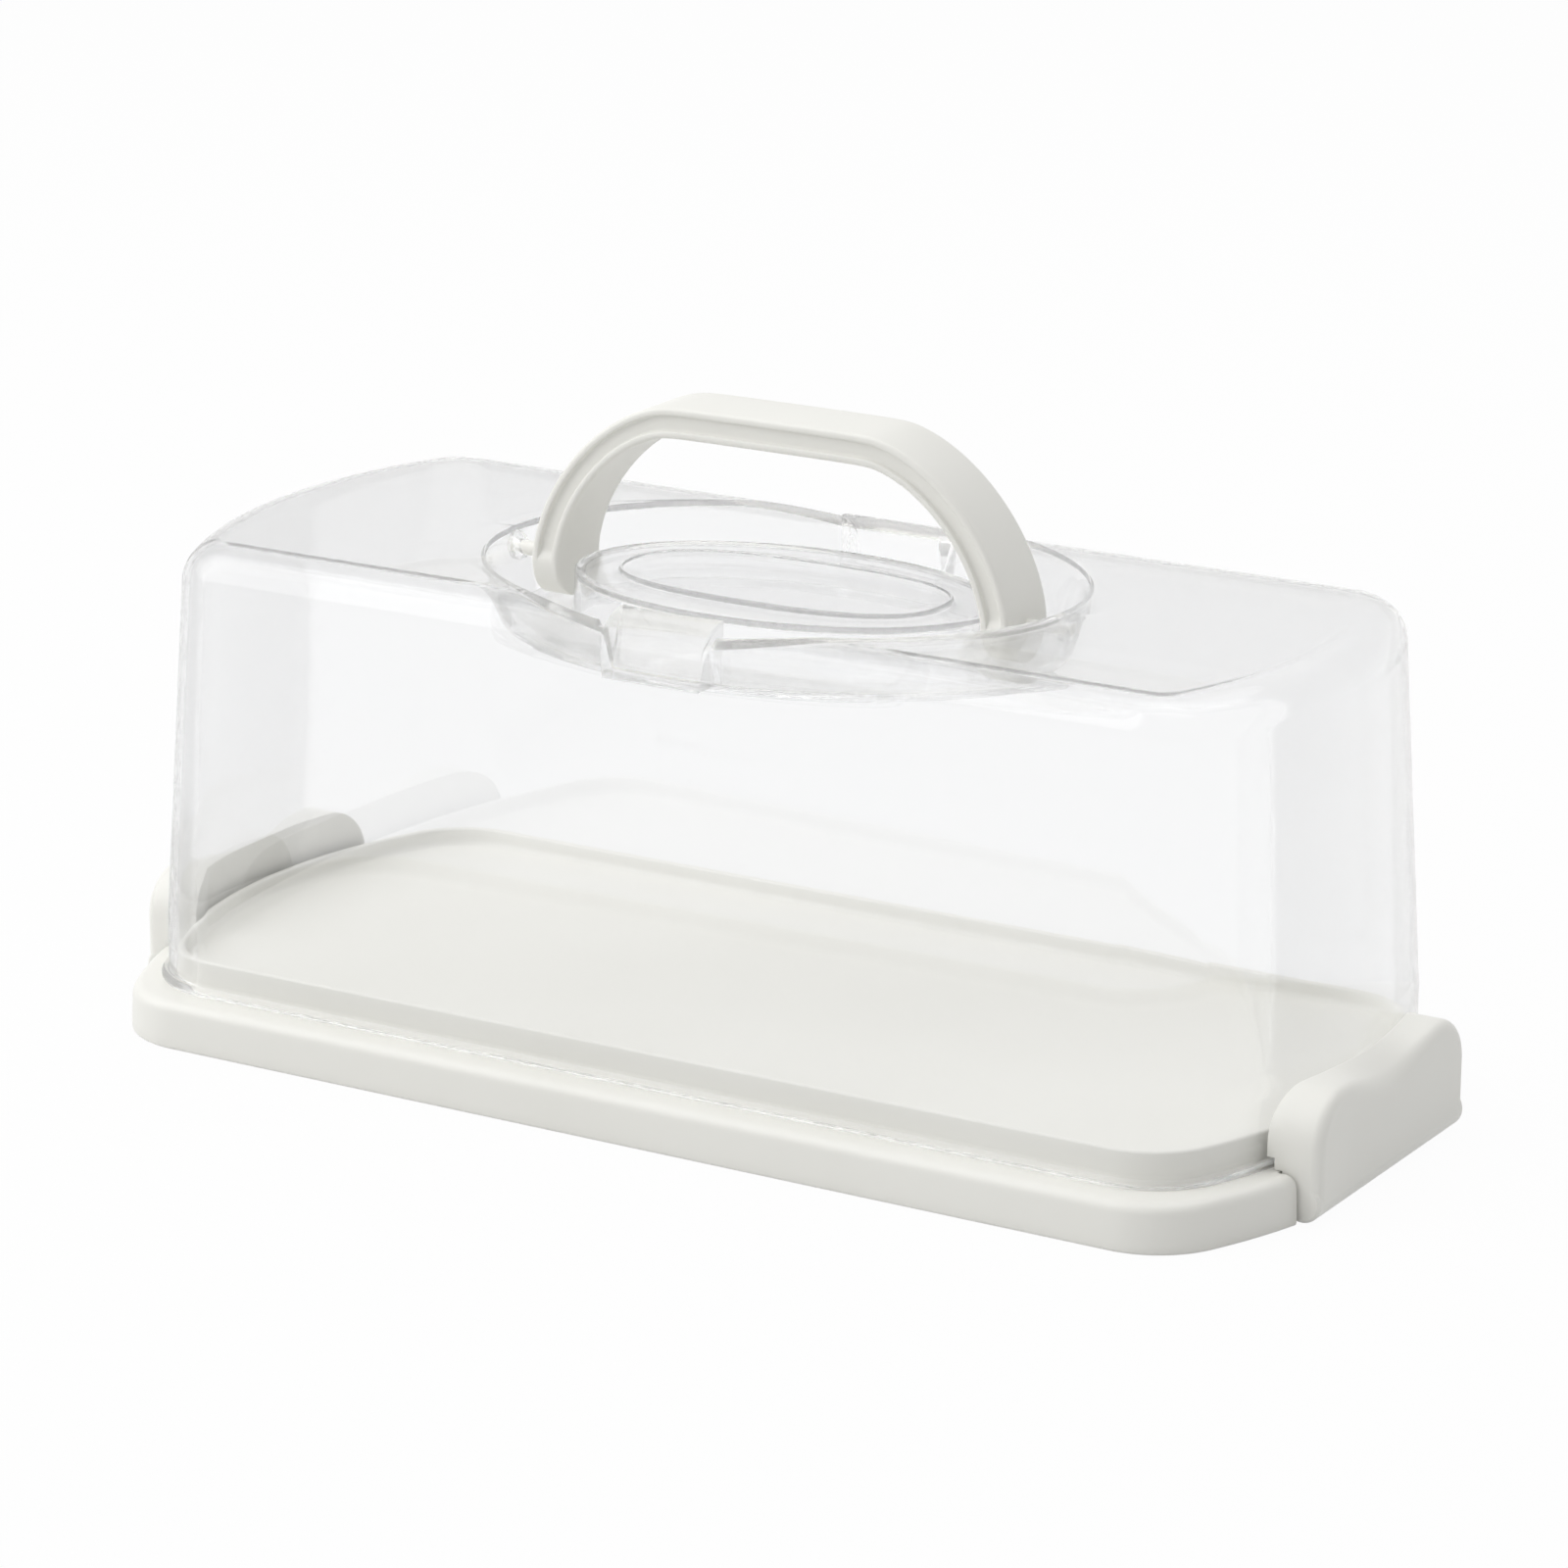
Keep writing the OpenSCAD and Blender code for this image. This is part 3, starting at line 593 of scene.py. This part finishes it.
def make_latch():
    stack = [(x, 0.0) for x in (LATCH_X0, 165.0, DIP_X0 - 0.6, DIP_X0 + 0.6, 174.0)]
    for a in np.linspace(0, PI / 2, 8):
        stack.append((LATCH_X - FACE_R + FACE_R * math.sin(a), FACE_R * (1 - math.cos(a))))
    rings = [np.array([(x, y, z) for y, z in latch_outline(x, d, HINGE_Z)]) for x, d in stack]
    latch = skin("latch", rings, ends="caps")
    cut(latch, bar("barrel", 1, (HINGE_X, HINGE_Z), BARREL_R, -LATCH_HALF, LATCH_HALF, 72, 0.8), "UNION")
    cut(latch, box("inside", (100, -60, -5), (HINGE_X - BARREL_R, 60, FOOT_Z)))
    cut(latch, bow_bar(POCKET_R, POCKET_Z, HOOK_Z))
    cut(latch, bow_bar(HOOK_R, HOOK_Z - 1, 40))
    for y in (-LUG_Y, LUG_Y):                                   # room for the tray's lugs to turn in
        lo, hi = y - SLOT_HALF, y + SLOT_HALF
        slot = bar("slot", 1, (HINGE_X, HINGE_Z), SLOT_R, lo, hi, 40)
        cut(slot, box("slot_in", (HINGE_X - 10, lo, HINGE_Z), (HINGE_X, hi, HINGE_Z + SLOT_R)), "UNION")
        cut(slot, box("slot_low", (HINGE_X - 10, lo, -5), (HINGE_X + 1.8, hi, HINGE_Z)), "UNION")
        cut(latch, slot)
    bars = []
    for y in (-LUG_Y, LUG_Y):
        lo, hi = y - HINGE_BAR_HALF, y + HINGE_BAR_HALF
        bars.append(bar("hinge_bar", 1, (HINGE_X, HINGE_Z), HINGE_BAR_R, lo, hi, 32))
    join(latch, *bars)
    soften(latch, 0.5, 3, 40)
    return latch


cover = make_cover()
tray = make_tray()
handle = make_handle()
latch_right = make_latch()
latch_right.name = "latch_right_body"
latch_left = mirrored(latch_right, "latch_left_body")
soften(latch_left)

for piece, node in (
    (cover, "cover"), (tray, "tray"), (handle, "handle"), (latch_right, "latch_right"), (latch_left, "latch_left"),
):
    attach(piece, node)
    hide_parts(node)


# ---------------------------------------------------------------- materials
# linear colours
WHITE_DARK, WHITE_LIGHT = (0.815, 0.810, 0.765, 1), (0.845, 0.840, 0.798, 1)
CLEAR_COLOUR, CLEAR_THROUGH = (0.965, 0.967, 0.97, 1), (0.995, 0.995, 0.995, 1)
FLOOR_COLOUR = (0.75, 0.75, 0.75, 1)
# share of the floor that glows white where it is seen; the rest keeps the object's shadow
FLOOR_GLOW = 0.96
WORLD_STRENGTH, STUDIO_DIM = 0.52, 0.15


def add_node(tree, kind, values=None, operation=None):
    node = tree.nodes.new("ShaderNode" + kind)
    if operation:
        node.operation = operation
    for socket, value in (values or {}).items():
        node.inputs[socket].default_value = value
    return node


def new_material(name):
    mat = bpy.data.materials.new(name)
    mat.use_nodes = True
    tree = mat.node_tree
    tree.nodes.clear()
    return mat, tree, add_node(tree, "OutputMaterial")


def add_noise(tree, scale, detail):
    noise = add_node(tree, "TexNoise", {"Scale": scale, "Detail": detail})
    coords = add_node(tree, "TexCoord")
    tree.links.new(coords.outputs["Object"], noise.inputs["Vector"])
    return noise.outputs["Fac"]


def finish_surface(tree, shader, noise, rough_range, strength, distance):
    """Roughness and bump from one noise."""
    rough = add_node(tree, "MapRange", {"To Min": rough_range[0], "To Max": rough_range[1]})
    bump = add_node(tree, "Bump", {"Strength": strength, "Distance": distance})
    tree.links.new(noise, rough.inputs["Value"])
    tree.links.new(rough.outputs["Result"], shader.inputs["Roughness"])
    tree.links.new(noise, bump.inputs["Height"])
    tree.links.new(bump.outputs["Normal"], shader.inputs["Normal"])


def white_plastic():
    mat, tree, out = new_material("white_plastic_moulded")
    shader = add_node(tree, "BsdfPrincipled", {"IOR": 1.49})
    tint = add_node(tree, "ValToRGB")
    for stop, colour, position in zip(tint.color_ramp.elements, (WHITE_DARK, WHITE_LIGHT), (0.3, 0.7)):
        stop.color, stop.position = colour, position
    tree.links.new(add_noise(tree, 14.0, 3.0), tint.inputs["Fac"])
    tree.links.new(tint.outputs["Color"], shader.inputs["Base Color"])
    finish_surface(tree, shader, add_noise(tree, 2600.0, 2.0), (0.34, 0.42), 0.06, 0.00004)
    tree.links.new(shader.outputs["BSDF"], out.inputs["Surface"])
    return mat


def clear_plastic():
    mat, tree, out = new_material("clear_plastic_polished")
    shader = add_node(tree, "BsdfPrincipled", {
        "Base Color": CLEAR_COLOUR, "Transmission Weight": 1.0, "IOR": 1.3, "Alpha": 0.8,
    })
    finish_surface(tree, shader, add_noise(tree, 9.0, 1.0), (0.0, 0.012), 0.01, 0.0002)
    through = add_node(tree, "BsdfTransparent", {"Color": CLEAR_THROUGH})
    path = add_node(tree, "LightPath")
    surface = shader.outputs["BSDF"]
    for ray in ("Is Shadow Ray", "Is Diffuse Ray"):             # light falls through the cover unbent
        mix = add_node(tree, "MixShader")
        tree.links.new(path.outputs[ray], mix.inputs["Fac"])
        tree.links.new(surface, mix.inputs[1])
        tree.links.new(through.outputs["BSDF"], mix.inputs[2])
        surface = mix.outputs["Shader"]
    tree.links.new(surface, out.inputs["Surface"])
    return mat


WHITE, CLEAR = white_plastic(), clear_plastic()
for piece in (tray, handle, latch_left, latch_right, cover):
    piece.data.materials.clear()
    piece.data.materials.append(CLEAR if piece == cover else WHITE)
for node, obj in frame["nodes"].items():
    for slot in obj.material_slots:
        slot.material = CLEAR if node == "cover" else WHITE


# ---------------------------------------------------------------- floor, light and camera
def seen_ray(tree):
    """1 for what the camera sees directly, or in or through the object; 0 for the light that falls on it."""
    path = add_node(tree, "LightPath")
    total = path.outputs["Is Camera Ray"]
    for name in ("Is Glossy Ray", "Is Transmission Ray"):
        most = add_node(tree, "Math", operation="MAXIMUM")
        tree.links.new(total, most.inputs[0])
        tree.links.new(path.outputs[name], most.inputs[1])
        total = most.outputs[0]
    early = add_node(tree, "Math", {1: 0.5}, "LESS_THAN")
    tree.links.new(path.outputs["Diffuse Depth"], early.inputs[0])
    both = add_node(tree, "Math", operation="MULTIPLY")
    tree.links.new(total, both.inputs[0])
    tree.links.new(early.outputs[0], both.inputs[1])
    return both.outputs[0]


def floor():
    verts = [(-2500, -2500, 0), (2500, -2500, 0), (2500, 2500, 0), (-2500, 2500, 0)]
    obj = mesh_object("floor", verts, [(0, 1, 2, 3)])
    if obj.data.polygons[0].normal.z < 0:
        obj.data.flip_normals()
    mat, tree, out = new_material("floor_pale")
    diffuse = add_node(tree, "BsdfDiffuse", {"Color": FLOOR_COLOUR})
    glow = add_node(tree, "Emission", {"Strength": 1.0})
    share = add_node(tree, "Math", {1: FLOOR_GLOW}, "MULTIPLY")
    mix = add_node(tree, "MixShader")
    tree.links.new(seen_ray(tree), share.inputs[0])
    tree.links.new(share.outputs[0], mix.inputs["Fac"])
    tree.links.new(diffuse.outputs["BSDF"], mix.inputs[1])
    tree.links.new(glow.outputs["Emission"], mix.inputs[2])
    tree.links.new(mix.outputs["Shader"], out.inputs["Surface"])
    obj.data.materials.append(mat)


def area_light(name, place, size, power):
    """A round soft lamp, in metres and watts, aimed at the middle of the object."""
    data = bpy.data.lights.new(name, "AREA")
    data.shape, data.size, data.energy = "DISK", size, power
    obj = bpy.data.objects.new(name, data)
    bpy.context.scene.collection.objects.link(obj)
    place, target = np.array(place, float), np.array((0, 0, 0.05), float)
    z = place - target
    z /= np.linalg.norm(z)
    x = np.cross((0, 0, 1), z)
    x /= np.linalg.norm(x)
    m = np.eye(4)
    m[:3, 0], m[:3, 1], m[:3, 2], m[:3, 3] = x, np.cross(z, x), z, place
    obj.matrix_world = Matrix(m.tolist())


def world():
    """White where it is seen, a little dimmer overhead in reflections, and a plain soft light otherwise."""
    w = bpy.data.worlds.new("studio")
    bpy.context.scene.world = w
    w.use_nodes = True
    tree = w.node_tree
    tree.nodes.clear()
    out = add_node(tree, "OutputWorld")
    light = add_node(tree, "Background", {"Color": (1, 1, 1, 1), "Strength": WORLD_STRENGTH})
    seen = add_node(tree, "Background", {"Color": (1, 1, 1, 1)})
    coords = add_node(tree, "TexCoord")
    split = add_node(tree, "SeparateXYZ")
    dim = add_node(tree, "MapRange")
    dim.interpolation_type = "SMOOTHSTEP"
    for socket, value in (("From Min", 0.02), ("From Max", 0.2), ("To Min", 0.0), ("To Max", STUDIO_DIM)):
        dim.inputs[socket].default_value = value
    path = add_node(tree, "LightPath")
    mirrored_dim = add_node(tree, "Math", operation="MULTIPLY")
    strength = add_node(tree, "Math", {0: 1.0}, "SUBTRACT")
    mix = add_node(tree, "MixShader")
    tree.links.new(coords.outputs["Generated"], split.inputs[0])
    tree.links.new(split.outputs["Z"], dim.inputs["Value"])
    tree.links.new(dim.outputs["Result"], mirrored_dim.inputs[0])
    tree.links.new(path.outputs["Is Glossy Ray"], mirrored_dim.inputs[1])
    tree.links.new(mirrored_dim.outputs[0], strength.inputs[1])
    tree.links.new(strength.outputs[0], seen.inputs["Strength"])
    tree.links.new(seen_ray(tree), mix.inputs["Fac"])
    tree.links.new(light.outputs["Background"], mix.inputs[1])
    tree.links.new(seen.outputs["Background"], mix.inputs[2])
    tree.links.new(mix.outputs["Shader"], out.inputs["Surface"])


def camera():
    """The photograph's camera, fitted to the tray, the rim and the cover's outline."""
    data = bpy.data.cameras.new("camera")
    data.lens, data.sensor_width, data.clip_end = 135.97, 36.0, 50.0
    obj = bpy.data.objects.new("camera", data)
    bpy.context.scene.collection.objects.link(obj)
    turn = (
        Matrix.Rotation(math.radians(30.84), 4, "Z")
        @ Matrix.Rotation(math.radians(73.26), 4, "X")
        @ Matrix.Rotation(math.radians(0.26), 4, "Z")
    )
    obj.matrix_world = Matrix.Translation((0.7669, -1.2844, 0.5255)) @ turn
    bpy.context.scene.camera = obj


floor()
world()
area_light("key", (-1.35, -0.95, 1.45), 2.4, 28)
area_light("top", (0.25, 0.5, 2.0), 2.4, 13)
camera()
bpy.context.scene.view_settings.view_transform = "Standard"
